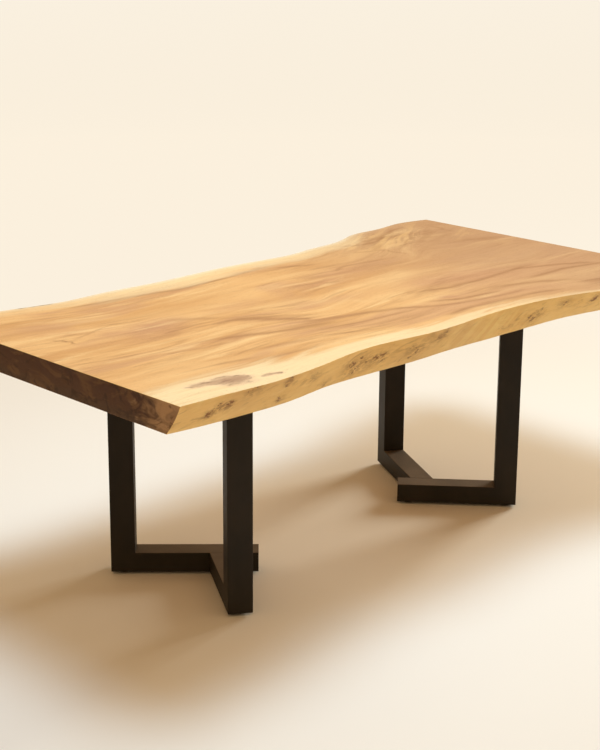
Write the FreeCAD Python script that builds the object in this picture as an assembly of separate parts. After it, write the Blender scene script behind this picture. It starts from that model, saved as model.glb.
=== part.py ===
import FreeCAD, Part
import math
import os

# Live edge dining table. Millimetres, +Z up, +X along the table, origin on the floor
# under the middle of the slab. Each base is a V of box tube: a long floor arm that runs
# past the junction into a short stub, a branch arm, and a post at the end of each arm.

# --- Slab -----------------------------------------------------------------------------
TABLE_HEIGHT = 755.0
SLAB_LENGTH = 2130.0
SLAB_THICKNESS = 80.0
# Distance from the centreline to the upper rim of each live edge, at stations spaced
# evenly from the left end to the right end.
FRONT_RIM = (620, 613, 611, 596, 567, 537, 531, 535, 522, 500, 489, 491, 509, 540, 561, 566, 556)
BACK_RIM = (446, 436, 421, 409, 424, 430, 436, 452, 464, 465, 467, 496, 521, 579, 592, 619, 606)
# How far the foot of the live edge stands inside the rim at the same stations.
FRONT_UNDERCUT = (53, 41, 42, 38, 38, 22, 21, 33, 34, 18, 15, 24, 46, 66, 68, 60, 52)
BACK_UNDERCUT = (40, 36, 31, 34, 42, 47, 40, 34, 28, 33, 40, 31, 44, 58, 50, 41, 44)
BULGE_HEIGHT_SHARE = 0.5        # height of the middle profile, as a share of the thickness
BULGE_UNDERCUT_SHARE = 0.42     # undercut there, as a share of the undercut at the foot

# --- Box tube of the bases ------------------------------------------------------------
TUBE_WIDTH = 70.0
ARM_HEIGHT = 58.0
TUBE_WALL = 3.0
TUBE_OUTER_CORNER = 2.5
TUBE_INNER_CORNER = 1.0
END_PLATE_THICKNESS = 3.0

# --- Plan of each base ----------------------------------------------------------------
# junction: crossing of the two arm centrelines; heading: direction of the long arm from
# its post to its stub; reaches run from the junction to the outer face of each post.
BASES = {
    "left": {
        "junction": (-453.5, -26.5),
        "heading": -41.5,
        "long_reach": 312.0,
        "stub": 112.0,
        "branch_reach": 335.0,
        "branch_angle": 79.0,
    },
    "right": {
        "junction": (412.0, -29.0),
        "heading": 133.0,
        "long_reach": 290.0,
        "stub": 90.0,
        "branch_reach": 397.0,
        "branch_angle": 70.5,
    },
}

# --- Mounting bars and fixings --------------------------------------------------------
BAR_WIDTH = 80.0
BAR_THICKNESS = 8.0
BAR_OVERHANG = 12.0
BAR_CORNER = 8.0
FIXING_INSET = 50.0             # from a post's inner face, or from the end of the stub
FIXING_FROM_JUNCTION = 100.0
BOLT_DIAMETER = 8.0
BOLT_HEAD_FLATS = 13.0
BOLT_HEAD_HEIGHT = 5.3
BOLT_HEAD_SLOPE = 30.0          # degrees of the bevel round the head's lower corners
SLOT_LENGTH = 20.0
SLOT_CLEARANCE = 0.5
WASHER_DIAMETER = 26.0
WASHER_THICKNESS = 2.0
WASHER_CLEARANCE = 0.2
INSERT_DIAMETER = 12.0
INSERT_LENGTH = 25.0
POCKET_SPARE_DEPTH = 5.0
FIT_CLEARANCE = 0.05            # radial, between a round piece and the hole that holds it

# --- Levelling feet -------------------------------------------------------------------
FOOT_HEIGHT = 8.0
FOOT_DIAMETER = 40.0
FOOT_BEVEL = 1.5
FOOT_TRAVEL = 10.0              # how far a foot screws down
STUD_DIAMETER = 8.0
STUD_SEAT = 5.0                 # depth of the stud in its pad
BUSHING_DIAMETER = 16.0
BUSHING_HEIGHT = 14.0

UNDERSIDE = TABLE_HEIGHT - SLAB_THICKNESS
POST_TOP = UNDERSIDE - BAR_THICKNESS
ARM_TOP = FOOT_HEIGHT + ARM_HEIGHT
FOOT_INSET = TUBE_WIDTH / 2
UP = FreeCAD.Vector(0, 0, 1)
SIDEWAYS = FreeCAD.Vector(0, 1, 0)


def point(x, y, z=0.0):
    return FreeCAD.Vector(x, y, z)


def polar(radius, degrees):
    """Plan point at a distance and direction from the origin."""
    return point(radius * math.cos(math.radians(degrees)), radius * math.sin(math.radians(degrees)))


def moved(shape, place, turn=0.0):
    """Copy of a shape, turned about the vertical and then carried to a place."""
    copy = shape.copy()
    copy.Placement = FreeCAD.Placement(place, FreeCAD.Rotation(UP, turn)).multiply(copy.Placement)
    return copy


def rounded_prism(size_x, size_y, height, corner):
    """Upright bar, centred on the Z axis, with rounded upright edges."""
    half_x, half_y = size_x / 2, size_y / 2
    diagonal = corner * math.sqrt(0.5)
    edges = []
    for quarter in range(4):
        turn = FreeCAD.Rotation(UP, 90 * quarter)
        across, along = (half_x, half_y) if quarter % 2 == 0 else (half_y, half_x)
        centre = point(across - corner, along - corner)
        arc = [turn.multVec(p) for p in (
            centre + point(corner, 0),
            centre + point(diagonal, diagonal),
            centre + point(0, corner),
        )]
        next_start = turn.multVec(point(-(across - corner), along))
        edges.append(Part.Arc(*arc).toShape())
        edges.append(Part.LineSegment(arc[2], next_start).toShape())
    return Part.Face(Part.Wire(edges)).extrude(point(0, 0, height))


def tube(size_x, size_y, length):
    """Upright length of box tube, centred on the Z axis."""
    bore_x, bore_y = size_x - 2 * TUBE_WALL, size_y - 2 * TUBE_WALL
    outside = rounded_prism(size_x, size_y, length, TUBE_OUTER_CORNER)
    return outside.cut(rounded_prism(bore_x, bore_y, length, TUBE_INNER_CORNER))


def laid_along_x(shape):
    """An upright shape laid down so that it runs along +X at the height of the arms."""
    copy = shape.copy()
    centre_line = point(0, 0, FOOT_HEIGHT + ARM_HEIGHT / 2)
    copy.Placement = FreeCAD.Placement(centre_line, FreeCAD.Rotation(SIDEWAYS, 90))
    return copy


def side_prism(outline):
    """Solid as wide as the tube, from an outline of (x, z) points."""
    corners = [point(x, -TUBE_WIDTH / 2, z) for x, z in outline]
    face = Part.Face(Part.makePolygon(corners + corners[:1]))
    return face.extrude(point(0, TUBE_WIDTH, 0))


def mitred_pair(length):
    """Arm and post that meet in a mitre, the post's outer face in the plane x = 0."""
    low_corner = (0.0, FOOT_HEIGHT)
    inner_corner = (TUBE_WIDTH, ARM_TOP)
    arm = laid_along_x(tube(ARM_HEIGHT, TUBE_WIDTH, length))
    arm = arm.common(side_prism([low_corner, (length, FOOT_HEIGHT), (length, ARM_TOP), inner_corner]))
    post = moved(tube(TUBE_WIDTH, TUBE_WIDTH, POST_TOP - FOOT_HEIGHT), point(TUBE_WIDTH / 2, 0, FOOT_HEIGHT))
    post = post.common(side_prism([low_corner, inner_corner, (TUBE_WIDTH, POST_TOP), (0.0, POST_TOP)]))
    return arm, post


def band(plan, width, low, height):
    """Endless straight piece along the long arm, for coping what butts against its side."""
    half_length = plan["long_reach"] + plan["branch_reach"]
    return Part.makeBox(2 * half_length, width, height, point(-half_length, -width / 2, low))


def in_base(shape, plan):
    """From the frame of a base (origin at the junction, +X along the long arm) to the table's."""
    return moved(shape, point(*plan["junction"]), plan["heading"])


# --- Slab -----------------------------------------------------------------------------
def extended(values):
    """Station values with one more at each end, in line with the last two."""
    return (2 * values[0] - values[1],) + tuple(values) + (2 * values[-1] - values[-2],)


def live_edge(rim, undercut, share, side, height):
    """Curve along one live edge; side is -1 at the front and +1 at the back."""
    step = SLAB_LENGTH / (len(rim) - 1)
    points = []
    for index, (reach, inward) in enumerate(zip(extended(rim), extended(undercut))):
        station = -SLAB_LENGTH / 2 + (index - 1) * step
        points.append(point(station, side * (reach - share * inward), height))
    curve = Part.BSplineCurve()
    curve.interpolate(points)
    return curve


def slab_outline(height, share):
    """Closed outline of the rough slab at one height."""
    front = live_edge(FRONT_RIM, FRONT_UNDERCUT, share, -1, height)
    back = live_edge(BACK_RIM, BACK_UNDERCUT, share, 1, height)
    right_end = Part.LineSegment(front.EndPoint, back.EndPoint).toShape()
    left_end = Part.LineSegment(back.StartPoint, front.StartPoint).toShape()
    return Part.Wire(Part.__sortEdges__([front.toShape(), right_end, back.toShape(), left_end]))


def make_slab(fixing_points):
    levels = (
        (UNDERSIDE, 1.0),
        (UNDERSIDE + BULGE_HEIGHT_SHARE * SLAB_THICKNESS, BULGE_UNDERCUT_SHARE),
        (TABLE_HEIGHT, 0.0),
    )
    rough = Part.makeLoft([slab_outline(height, share) for height, share in levels], True, False)
    clear_of_edges = max(FRONT_RIM) + max(BACK_RIM)
    saw_corner = point(-SLAB_LENGTH / 2, -clear_of_edges, UNDERSIDE)
    slab = rough.common(Part.makeBox(SLAB_LENGTH, 2 * clear_of_edges, SLAB_THICKNESS, saw_corner))
    pocket = Part.makeCylinder(INSERT_DIAMETER / 2 + FIT_CLEARANCE, INSERT_LENGTH + POCKET_SPARE_DEPTH)
    return slab.cut([moved(pocket, place + point(0, 0, UNDERSIDE)) for place in fixing_points])


# --- Base -----------------------------------------------------------------------------
def make_arms(plan):
    """The two arms, their posts and the plate that closes the stub, in the table's frame."""
    arm, post = mitred_pair(plan["long_reach"] + plan["stub"] - END_PLATE_THICKNESS)
    start = point(-plan["long_reach"], 0)
    plate = laid_along_x(rounded_prism(ARM_HEIGHT, TUBE_WIDTH, END_PLATE_THICKNESS, TUBE_OUTER_CORNER))
    branch, branch_post = mitred_pair(plan["branch_reach"])
    tip = polar(plan["branch_reach"], -plan["branch_angle"])
    back_turn = 180 - plan["branch_angle"]
    coped = moved(branch, tip, back_turn).cut(band(plan, TUBE_WIDTH, FOOT_HEIGHT, ARM_HEIGHT))
    return {
        "long_arm": bored_for_bushings(in_base(moved(arm, start), plan), plan),
        "long_arm_post": in_base(moved(post, start), plan),
        "end_plate": in_base(moved(plate, point(plan["stub"] - END_PLATE_THICKNESS, 0)), plan),
        "branch_arm": bored_for_bushings(in_base(coped, plan), plan),
        "branch_post": in_base(moved(branch_post, tip, back_turn), plan),
    }


def fixing_places(plan):
    """Plan points of the bolts: three on the long bar and two on the branch bar."""
    near_post = -(plan["long_reach"] - TUBE_WIDTH - FIXING_INSET)
    near_stub = plan["stub"] - FIXING_INSET
    branch_outer = plan["branch_reach"] - TUBE_WIDTH - FIXING_INSET
    local = [point(x, 0) for x in (near_post, (near_post + near_stub) / 2, near_stub)]
    local += [polar(distance, -plan["branch_angle"]) for distance in (FIXING_FROM_JUNCTION, branch_outer)]
    frame = FreeCAD.Placement(point(*plan["junction"]), FreeCAD.Rotation(UP, plan["heading"]))
    return [frame.multVec(place) for place in local]


def flat_bar(length):
    """Flat bar with rounded corners, starting at x = 0 under the slab."""
    bar = rounded_prism(length, BAR_WIDTH, BAR_THICKNESS, BAR_CORNER)
    return moved(bar, point(length / 2, 0, POST_TOP))


def make_bars(plan):
    """The two mounting bars, slotted across the grain of the slab."""
    long_bar = moved(
        flat_bar(plan["long_reach"] + BAR_OVERHANG + plan["stub"]),
        point(-plan["long_reach"] - BAR_OVERHANG, 0),
    )
    branch_bar = moved(flat_bar(plan["branch_reach"] + BAR_OVERHANG), point(0, 0), -plan["branch_angle"])
    branch_bar = branch_bar.cut(band(plan, BAR_WIDTH, POST_TOP, BAR_THICKNESS))
    slot_width = BOLT_DIAMETER + 2 * SLOT_CLEARANCE
    slot = rounded_prism(slot_width, SLOT_LENGTH, BAR_THICKNESS, slot_width / 2 - FIT_CLEARANCE)
    slots = [moved(slot, place + point(0, 0, POST_TOP)) for place in fixing_places(plan)]
    return {
        "long_mounting_bar": in_base(long_bar, plan).cut(slots),
        "branch_mounting_bar": in_base(branch_bar, plan).cut(slots),
    }


def ring(outer_diameter, bore_diameter, height):
    outside = Part.makeCylinder(outer_diameter / 2, height)
    return outside.cut(Part.makeCylinder(bore_diameter / 2, height))


def hexagon_bolt():
    """Bolt standing head down, its head's upper face at z = 0."""
    corner_radius = BOLT_HEAD_FLATS / math.sqrt(3)
    corners = [polar(corner_radius, 60 * side) for side in range(7)]
    prism = Part.Face(Part.makePolygon(corners)).extrude(point(0, 0, -BOLT_HEAD_HEIGHT))
    foot_radius = BOLT_HEAD_FLATS / 2
    flare = BOLT_HEAD_HEIGHT / math.tan(math.radians(BOLT_HEAD_SLOPE))
    foot = point(0, 0, -BOLT_HEAD_HEIGHT)
    head = prism.common(Part.makeCone(foot_radius, foot_radius + flare, BOLT_HEAD_HEIGHT, foot))
    shank = Part.makeCylinder(BOLT_DIAMETER / 2, WASHER_THICKNESS + BAR_THICKNESS + INSERT_LENGTH)
    return head.fuse(shank).removeSplitter()


def copies(shape, places, height):
    """One group of equal solids, one at each plan point."""
    return Part.makeCompound([moved(shape, place + point(0, 0, height)) for place in places])


def make_fixings(plan):
    """Bolts and washers below the bars, and the threaded inserts above them in the slab."""
    places = fixing_places(plan)
    washer = ring(WASHER_DIAMETER, BOLT_DIAMETER + 2 * WASHER_CLEARANCE, WASHER_THICKNESS)
    insert = ring(INSERT_DIAMETER, BOLT_DIAMETER + 2 * FIT_CLEARANCE, INSERT_LENGTH)
    return {
        "bolts": copies(hexagon_bolt(), places, POST_TOP - WASHER_THICKNESS),
        "washers": copies(washer, places, POST_TOP - WASHER_THICKNESS),
        "wood_inserts": copies(insert, places, UNDERSIDE),
    }


# --- Levelling feet -------------------------------------------------------------------
def foot_places(plan):
    """Plan points of the feet: under the long arm's post, under its stub, under the branch's post."""
    local = [
        point(-plan["long_reach"] + FOOT_INSET, 0),
        point(plan["stub"] - FOOT_INSET, 0),
        polar(plan["branch_reach"] - FOOT_INSET, -plan["branch_angle"]),
    ]
    frame = FreeCAD.Placement(point(*plan["junction"]), FreeCAD.Rotation(UP, plan["heading"]))
    return [frame.multVec(place) for place in local]


def bored_for_bushings(arm, plan):
    """An arm with a hole through its lower wall over each foot."""
    drill = Part.makeCylinder(BUSHING_DIAMETER / 2 + FIT_CLEARANCE, TUBE_WALL)
    return arm.cut([moved(drill, place + point(0, 0, FOOT_HEIGHT)) for place in foot_places(plan)])


def foot_pad():
    blank = Part.makeCylinder(FOOT_DIAMETER / 2, FOOT_HEIGHT)
    rims = [edge for edge in blank.Edges if edge.Closed]
    blank = blank.makeChamfer(FOOT_BEVEL, [min(rims, key=lambda edge: edge.CenterOfMass.z)])
    seat_floor = point(0, 0, FOOT_HEIGHT - STUD_SEAT)
    return blank.cut(Part.makeCylinder(STUD_DIAMETER / 2 + FIT_CLEARANCE, STUD_SEAT, seat_floor))


def foot_stud():
    """Stud that still fills its bushing when the foot is screwed right down."""
    return Part.makeCylinder(
        STUD_DIAMETER / 2,
        STUD_SEAT + BUSHING_HEIGHT + FOOT_TRAVEL,
        point(0, 0, FOOT_HEIGHT - STUD_SEAT),
    )


def make_feet(plan):
    pieces = {}
    for number, place in enumerate(foot_places(plan), start=1):
        pieces[f"foot_pad_{number}"] = moved(foot_pad(), place)
        pieces[f"foot_stud_{number}"] = moved(foot_stud(), place)
    bushing = ring(BUSHING_DIAMETER, STUD_DIAMETER + 2 * FIT_CLEARANCE, BUSHING_HEIGHT)
    pieces["bushings"] = copies(bushing, foot_places(plan), FOOT_HEIGHT)
    return pieces


# --- Whole table ----------------------------------------------------------------------
def make_table():
    fixing_points = [place for plan in BASES.values() for place in fixing_places(plan)]
    table = {"tabletop_slab": make_slab(fixing_points)}
    for side, plan in BASES.items():
        for group in (make_arms(plan), make_bars(plan), make_fixings(plan), make_feet(plan)):
            for name, shape in group.items():
                table[f"{side}_{name}"] = shape
    return table


os.makedirs("parts", exist_ok=True)
for name, shape in make_table().items():
    shape.exportStep(f"parts/{name}.step")
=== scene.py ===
"""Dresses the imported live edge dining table: wooden slab, black steel bases, fixings, feet and studio."""

import math
import random
from contextlib import contextmanager
from functools import partial, reduce

import bmesh
import bpy
import numpy
from mathutils import Matrix, Vector


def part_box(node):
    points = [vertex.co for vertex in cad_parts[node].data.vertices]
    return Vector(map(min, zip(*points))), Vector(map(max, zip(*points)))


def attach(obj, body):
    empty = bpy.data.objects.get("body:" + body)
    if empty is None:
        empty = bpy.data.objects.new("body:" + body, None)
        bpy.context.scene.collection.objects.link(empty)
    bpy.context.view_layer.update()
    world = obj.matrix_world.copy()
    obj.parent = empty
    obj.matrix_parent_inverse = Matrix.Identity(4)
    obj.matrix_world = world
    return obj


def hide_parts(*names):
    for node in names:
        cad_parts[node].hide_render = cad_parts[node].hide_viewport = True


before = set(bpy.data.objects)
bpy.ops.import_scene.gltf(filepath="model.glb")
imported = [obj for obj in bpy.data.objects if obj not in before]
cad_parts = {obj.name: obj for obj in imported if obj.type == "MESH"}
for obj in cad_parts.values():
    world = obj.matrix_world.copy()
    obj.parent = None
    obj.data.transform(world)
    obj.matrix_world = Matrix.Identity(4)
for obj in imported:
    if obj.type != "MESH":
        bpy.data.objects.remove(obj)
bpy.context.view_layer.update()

bl_info = {
    "name": "Live edge dining table",
    "version": (1, 0, 0),
    "blender": (4, 5, 0),
    "location": "3D View > Sidebar > Table",
    "description": "Models and finishes a live edge slab table on two V shaped steel bases",
    "category": "Object",
}

SLAB_LOW, SLAB_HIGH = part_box("tabletop_slab")

# Width in metres of the pale sapwood inside each rim, and how pale it is, at stations spaced evenly
# from the left end to the right end.
FRONT_SAPWOOD = (.135, .150, .090, .075, .058, .038, .030, .040, .040)
BACK_SAPWOOD = (.060, .050, .080, .090, .080, .075, .070, .020, .010)
FRONT_PALENESS = (1.0, 1.0, .88, .88, .78, .62, .45, .45, .40)
BACK_PALENESS = (.35, .40, .72, .82, .72, .68, .62, .10, .00)
RIM_STATIONS = 17  # stations at which the rims are measured
CURVE_SPAN = 0.7  # metres that stand for 1 on a rim or sapwood curve
LEVEL_SLACK = 0.0005  # how far below the top a point may lie and still count as its rim
WELD_SLACK = 0.00001  # how near two points lie that are one

POCKET_RADIUS = 0.00605
POCKET_DEPTH = 0.030
POCKET_REACH = 0.3  # farthest that a pocket's wall lies from the centreline
# A face's normal past which it belongs to an end, by x, or to the top or the underside, by z.
END_FACING, TOP_FACING, UNDERSIDE_FACING = 0.8, 0.75, -0.93

# How the box is divided before it is wrapped: the axis that the edges run along, and the cuts.
SLAB_CUTS = ((0, 6), (0, 75), (2, 23))
SHORTEST_DIVIDED = 0.05  # edges shorter than this are left whole
WRAP_SLACK = 0.00002  # how far the box stays inside the ends, top and underside of the blank
SMOOTH_ANGLE = math.radians(38)
SOFTENED_ANGLE = math.radians(40)
VIEWPORT_COLOUR = (0.5, 0.4, 0.3, 1.0)
VECTOR_SOCKETS = ("Position", "Flow")  # group sockets that hold a vector

CM, MM = 0.01, 0.001
LEG_OVERLAP = 1.15  # length of a leg's mark over that of the leg
# Streaks, patches and knots of the top: depth, width in millimetres, then the places that each runs through
# in centimetres.
STREAKS = (
    (0.70, 18, (-72, 33), (-50, 33), (-32, 31.5), (-15, 33.5), (8, 38)),
    (0.45, 8, (-88, 4), (-73, 10), (-69, 9.5)),
    (0.45, 28, (-58, 4), (-45, -4)),
    (0.72, 34, (-43, -9), (-33, -16), (-27, -21)),
    (0.72, 26, (-61, -21), (-43, -25.5), (-27, -27.5)),
    (0.68, 27, (-31, -23.5), (-14, -25.5), (0, -28), (8, -32)),
    (0.50, 10, (-68, -36), (-54, -33)),
    (0.55, 20, (-77, -40), (-66, -41)),
    (0.45, 20, (-80, -24), (-70, -25)),
    (0.35, 9, (-87, -40), (-75, -40)),
    (0.85, 9, (-95, 6), (-92, 4.5), (-92, 0)),
    (0.60, 19, (9, 35), (21, 31)),
    (0.40, 11, (25, 36.5), (36, 39)),
    (0.60, 17, (-35, -31.5), (-20, -32.5), (1, -32.5)),
    (0.50, 20, (-60, -35.5), (-42, -36.5)),
    (0.50, 18, (-67, -44), (-48, -43.5)),
    (0.55, 18, (-38, -36.5), (-22, -40.5)),
    (0.75, 20, (14, -29), (22, -32), (38, -33)),
    (0.60, 18, (8, -32.5), (18, -35.5), (33, -37), (45, -36.5)),
    (0.70, 20, (20, -18), (32, -20), (46, -19), (71, -15)),
    (0.75, 20, (67, -16), (83, -21), (93, -25.5)),
    (0.80, 22, (61, -27), (78, -25.5), (96, -28)),
    (0.65, 26, (42, -28.5), (58, -32.5), (68, -37)),
    (0.70, 20, (5, -43), (16, -41), (42, -41.5), (54, -43)),
    (0.60, 14, (21, 19.5), (28, 22.5), (46, 22)),
    (0.50, 12, (6, 9), (12, 8)),
    (0.45, 14, (46, 35), (55, 32.5), (57, 23)),
    (0.40, 11, (63, 33.5), (72, 34)),
    (0.75, 16, (45, 46.5), (56, 43), (63, 43.5), (80, 53), (88, 55.5)),
    (0.50, 10, (64, 32), (81, 43)),
    (0.55, 16, (97, 41), (99, 50)),
)
RUDDY_PATCHES = (
    (0.60, 90, (-83, 2), (-60, -4)),
    (0.80, 90, (-70, 2), (-54, 2.5)),
    (0.80, 140, (26, -11), (58, -14)),
    (0.40, 80, (11, 17), (30, 18)),
    (0.90, 42, (19, -26.5), (25, -30)),
    (0.30, 35, (-102, -21), (-81, -19)),
    (0.35, 75, (-43, 2.5), (-22, 5.5)),
    (0.40, 70, (-42, -10), (-28, -19)),
    (0.60, 80, (6, -40), (38, -36), (63, -40)),
    (0.45, 150, (40, -24), (95, -18)),
    (0.50, 60, (-17, -9), (3, -8)),
)
PALE_PATCHES = (
    (0.80, 55, (66, 48), (90, 52)),
    (0.60, 80, (17, -3.5), (38, 3.5)),
    (0.20, 45, (-13, -7), (-3, -11)),
    (0.45, 30, (-4, -13), (0, -17)),
    (0.50, 110, (-32, -4), (-12, -3.5)),
    (0.40, 55, (-93, -32), (-68, -27.5)),
    (0.35, 60, (-84, 19), (-66, 18)),
)
KNOTS = (
    (1.00, 84, (-87.5, -52.5), (-78.5, -53.5)),
    (0.75, 36, (-95.5, -50.8), (-88, -52)),
    (0.85, 24, (-74.5, -55), (-69.5, -56)),
)
# A calmer stretch of the heartwood, and the curls of the wide part of the back edge: plan middle and reach.
CALM_MIDDLE = (0.52, 0.10)
CALM_REACH = (0.50, 0.24)
CURL_MIDDLE = (0.70, 0.44)
CURL_REACH = (0.30, 0.15)
# Places where the grain swings aside: middle x, middle y, reach along, reach across, push.
GRAIN_SWINGS = (
    (-0.200, -0.150, 0.22, 0.16, 0.075),
    (0.660, 0.360, 0.20, 0.17, -0.090),
)
# How far each part of the figure shifts the border of the sapwood.
RAGGED_BORDER = (("Brush", 0.070), ("Streaks", 0.038), ("Lines", 0.014))
# The grain goes round each knot: over how many of its half lengths and half widths, and how hard.
KNOT_REACH = (2.2, 1.6)
KNOT_PUSH = -0.9
YELLOW_MIDDLE, YELLOW_REACH = (0.16, 0.715), (0.20, 0.05)  # the yellowest stretch of the front live edge
BARK_RIM_MIDDLE = -0.765  # x of the grey bark along the back rim
PITH = (0.06, 0.42)  # y and z of the heart that the growth rings of the ends lie round
PLANER_WAVE = 0.0085
THREAD_PITCH = 0.00125

# Clusters of bark left in the front live edge: middle x and height in centimetres, reach along in
# millimetres, number of flecks, lean in degrees, depth.
BARK_CLUSTERS = (
    (-96.0, 70.8, 9, 3, 10, 1.0),
    (-93.0, 72.3, 7, 2, 10, 0.9),
    (-90.0, 72.0, 6, 2, 20, 1.0),
    (-83.0, 74.4, 20, 4, 8, 0.6),
    (-70.7, 74.2, 7, 2, 20, 1.0),
    (-72.0, 69.5, 8, 2, 0, 0.5),
    (-59.5, 72.5, 16, 2, -5, 0.7),
    (-53.0, 69.0, 10, 2, 10, 0.6),
    (-41.0, 71.0, 42, 9, 10, 0.8),
    (-32.0, 71.5, 26, 5, 10, 0.7),
    (-17.5, 71.5, 36, 6, 10, 0.7),
    (-7.5, 73.5, 20, 4, 16, 0.9),
    (37.0, 71.0, 28, 5, 8, 0.8),
    (49.0, 73.0, 18, 3, 5, 0.6),
    (60.5, 72.5, 9, 5, 50, 1.0),
    (80.0, 72.0, 24, 4, 14, 0.8),
    (94.0, 72.0, 12, 3, 10, 0.8),
)
BARK_SEED = 5
FLECK_LENGTH = (0.003, 0.009)  # least and greatest half length of a fleck
FLECK_WIDTH = (0.0014, 0.0032)  # least and greatest half width

CAMERA_PLACE = (-3.3290, -3.4669, 1.8700)
CAMERA_TURN = (47.193, 15.959, 0.411)  # heading, pitch down and roll in degrees
CAMERA_LENS = 79.618  # millimetres, over a sensor 36 wide
SOFTBOX_PLACE, SOFTBOX_SIZE = (-0.11, -0.15, 4.6), (1.8, 1.8)
PANEL_PLACE, PANEL_SIZE = (9.67, 0.91, 3.27), (3.6, 3.2)
OPEN_SPREAD, PANEL_SPREAD = 180.0, 60.0  # degrees over which a lamp shines
FLOOR_SIDES, COVE_STEPS = 96, 12
BLACK = (0.0, 0.0, 0.0)


# --- Sizes and colours that a user would change ---
def colour(name, description, value):
    return bpy.props.FloatVectorProperty(
        name=name, description=description, subtype="COLOR", size=3, min=0.0, max=1.0, default=value,
    )


def length(name, description, value, unit="LENGTH"):
    return bpy.props.FloatProperty(name=name, description=description, default=value, min=0.0, unit=unit)


power = partial(length, unit="POWER")


class TableSlabSettings(bpy.types.PropertyGroup):
    rim_softening: length("Rim softening", "Width of the sanded bevel round every edge of the slab", 0.0016)
    ripple_depth: length("Ripple depth", "Height of the fine ripples of the live edges", 0.0022)
    hollow_depth: length("Hollow depth", "Height of the broad hollows of the live edges", 0.0036)
    heartwood_light: colour("Light heartwood", "Pale bands of the heartwood", (0.83, 0.49, 0.205))
    heartwood_dark: colour("Dark heartwood", "Brown bands of the heartwood", (0.66, 0.345, 0.125))
    heartwood_right: colour("Right heartwood", "Duller brown towards the right end", (0.49, 0.273, 0.143))
    streak: colour("Streaks", "Brown streaks along the grain", (0.34, 0.150, 0.055))
    honey: colour("Honey streaks", "Pale streaks along the grain", (0.91, 0.61, 0.285))
    ruddy: colour("Ruddy heartwood", "Pinkish patches of the heartwood", (0.56, 0.285, 0.145))
    sapwood: colour("Sapwood", "Cream band inside each live edge", (0.93, 0.735, 0.430))
    live_edge: colour("Live edge", "Golden surface under the bark", (0.89, 0.600, 0.225))
    bark: colour("Bark marks", "Bark left in the live edge", (0.25, 0.115, 0.042))
    end_grain: colour("End grain", "Oiled end grain", (0.086, 0.037, 0.0165))
    knot: colour("Knots", "Heart of the knots", (0.42, 0.245, 0.145))


class TableSteelSettings(bpy.types.PropertyGroup):
    coat: colour("Powder coat", "Matt black of the bases", (0.0132, 0.0098, 0.0062))
    roughness: bpy.props.FloatProperty(
        name="Roughness", description="Roughness of the powder coat", default=0.56, min=0.0, max=1.0,
    )


class TableFixingSettings(bpy.types.PropertyGroup):
    zinc: colour("Zinc", "Plated bolts, washers, studs and bushings", (0.56, 0.57, 0.58))
    brass: colour("Brass", "Threaded inserts", (0.72, 0.50, 0.20))
    plastic: colour("Plastic", "Moulded foot pads", (0.018, 0.017, 0.016))


class TableStageSettings(bpy.types.PropertyGroup):
    floor_radius: length("Floor radius", "Radius of the flat floor", 9.0)
    cove_radius: length("Cove radius", "Radius of the curve between floor and wall", 3.0)
    wall_height: length("Wall height", "Height of the wall above the curve", 5.0)
    glow_start: length("Glow start", "Distance from the table at which the floor starts to glow", 1.6)
    glow_full: length("Glow full", "Distance at which the floor is all glow", 3.3)
    floor: colour("Floor", "Warm white of floor and wall", (0.86, 0.84, 0.80))
    floor_glow: colour("Floor glow", "Wash of light on the far floor", (0.945, 0.855, 0.715))
    wall_glow: colour("Wall glow", "Wash of light on the wall", (0.965, 0.905, 0.805))
    backdrop: colour("Backdrop", "What is seen above the wall", (0.93, 0.86, 0.76))
    ambient: colour("Ambient light", "Light that comes from everywhere", (0.531, 0.353, 0.184))
    key: colour("Key light", "Tint of the softbox", (0.643, 0.843, 1.0))
    key_power: power("Key power", "Power of the softbox", 141.0)
    side: colour("Side light", "Tint of the large side panel", (1.0, 0.955, 0.798))
    side_power: power("Side power", "Power of the side panel", 99.0)


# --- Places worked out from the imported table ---
def rim_distances(side):
    """Distance from the centreline to one upper rim, at stations spaced evenly along the slab."""
    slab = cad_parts["tabletop_slab"]
    places = [slab.matrix_world @ vertex.co for vertex in slab.data.vertices]
    upper = [place for place in places if place.z > SLAB_HIGH.z - LEVEL_SLACK]
    rim = sorted((place.x, side * place.y) for place in upper if side * place.y > 0)
    stations = numpy.linspace(SLAB_LOW.x, SLAB_HIGH.x, RIM_STATIONS)
    return numpy.interp(stations, *zip(*rim)).tolist()


def on_both_sides(*kinds):
    """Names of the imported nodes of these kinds, of the left base and then of the right one."""
    return [f"{side}_{kind}" for side in ("left", "right") for kind in kinds]


def solid_centres(name):
    """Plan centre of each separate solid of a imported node."""
    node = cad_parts[name]
    form = bmesh.new()
    form.from_mesh(node.data)
    bmesh.ops.remove_doubles(form, verts=form.verts, dist=WELD_SLACK)
    waiting = set(form.verts)
    centres = []
    while waiting:
        solid = [waiting.pop()]
        for vertex in solid:
            joined = {edge.other_vert(vertex) for edge in vertex.link_edges} & waiting
            waiting -= joined
            solid.extend(joined)
        places = [node.matrix_world @ vertex.co for vertex in solid]
        spans = [[place[axis] for place in places] for axis in (0, 1)]
        centres.append(tuple((min(span) + max(span)) / 2 for span in spans))
    form.free()
    return sorted(centres)


def legs(lines):
    """A mark for each leg of the lines, a little longer than the leg so that neighbours run together."""
    found = []
    for depth, width, *places in lines:
        for (x, y), (next_x, next_y) in zip(places, places[1:]):
            middle = (CM * (x + next_x) / 2, CM * (y + next_y) / 2)
            half_length = LEG_OVERLAP * CM * math.hypot(next_x - x, next_y - y) / 2
            lean = math.atan2(next_y - y, next_x - x)
            found.append((*middle, half_length, MM * width / 2, lean, depth))
    return found


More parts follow.
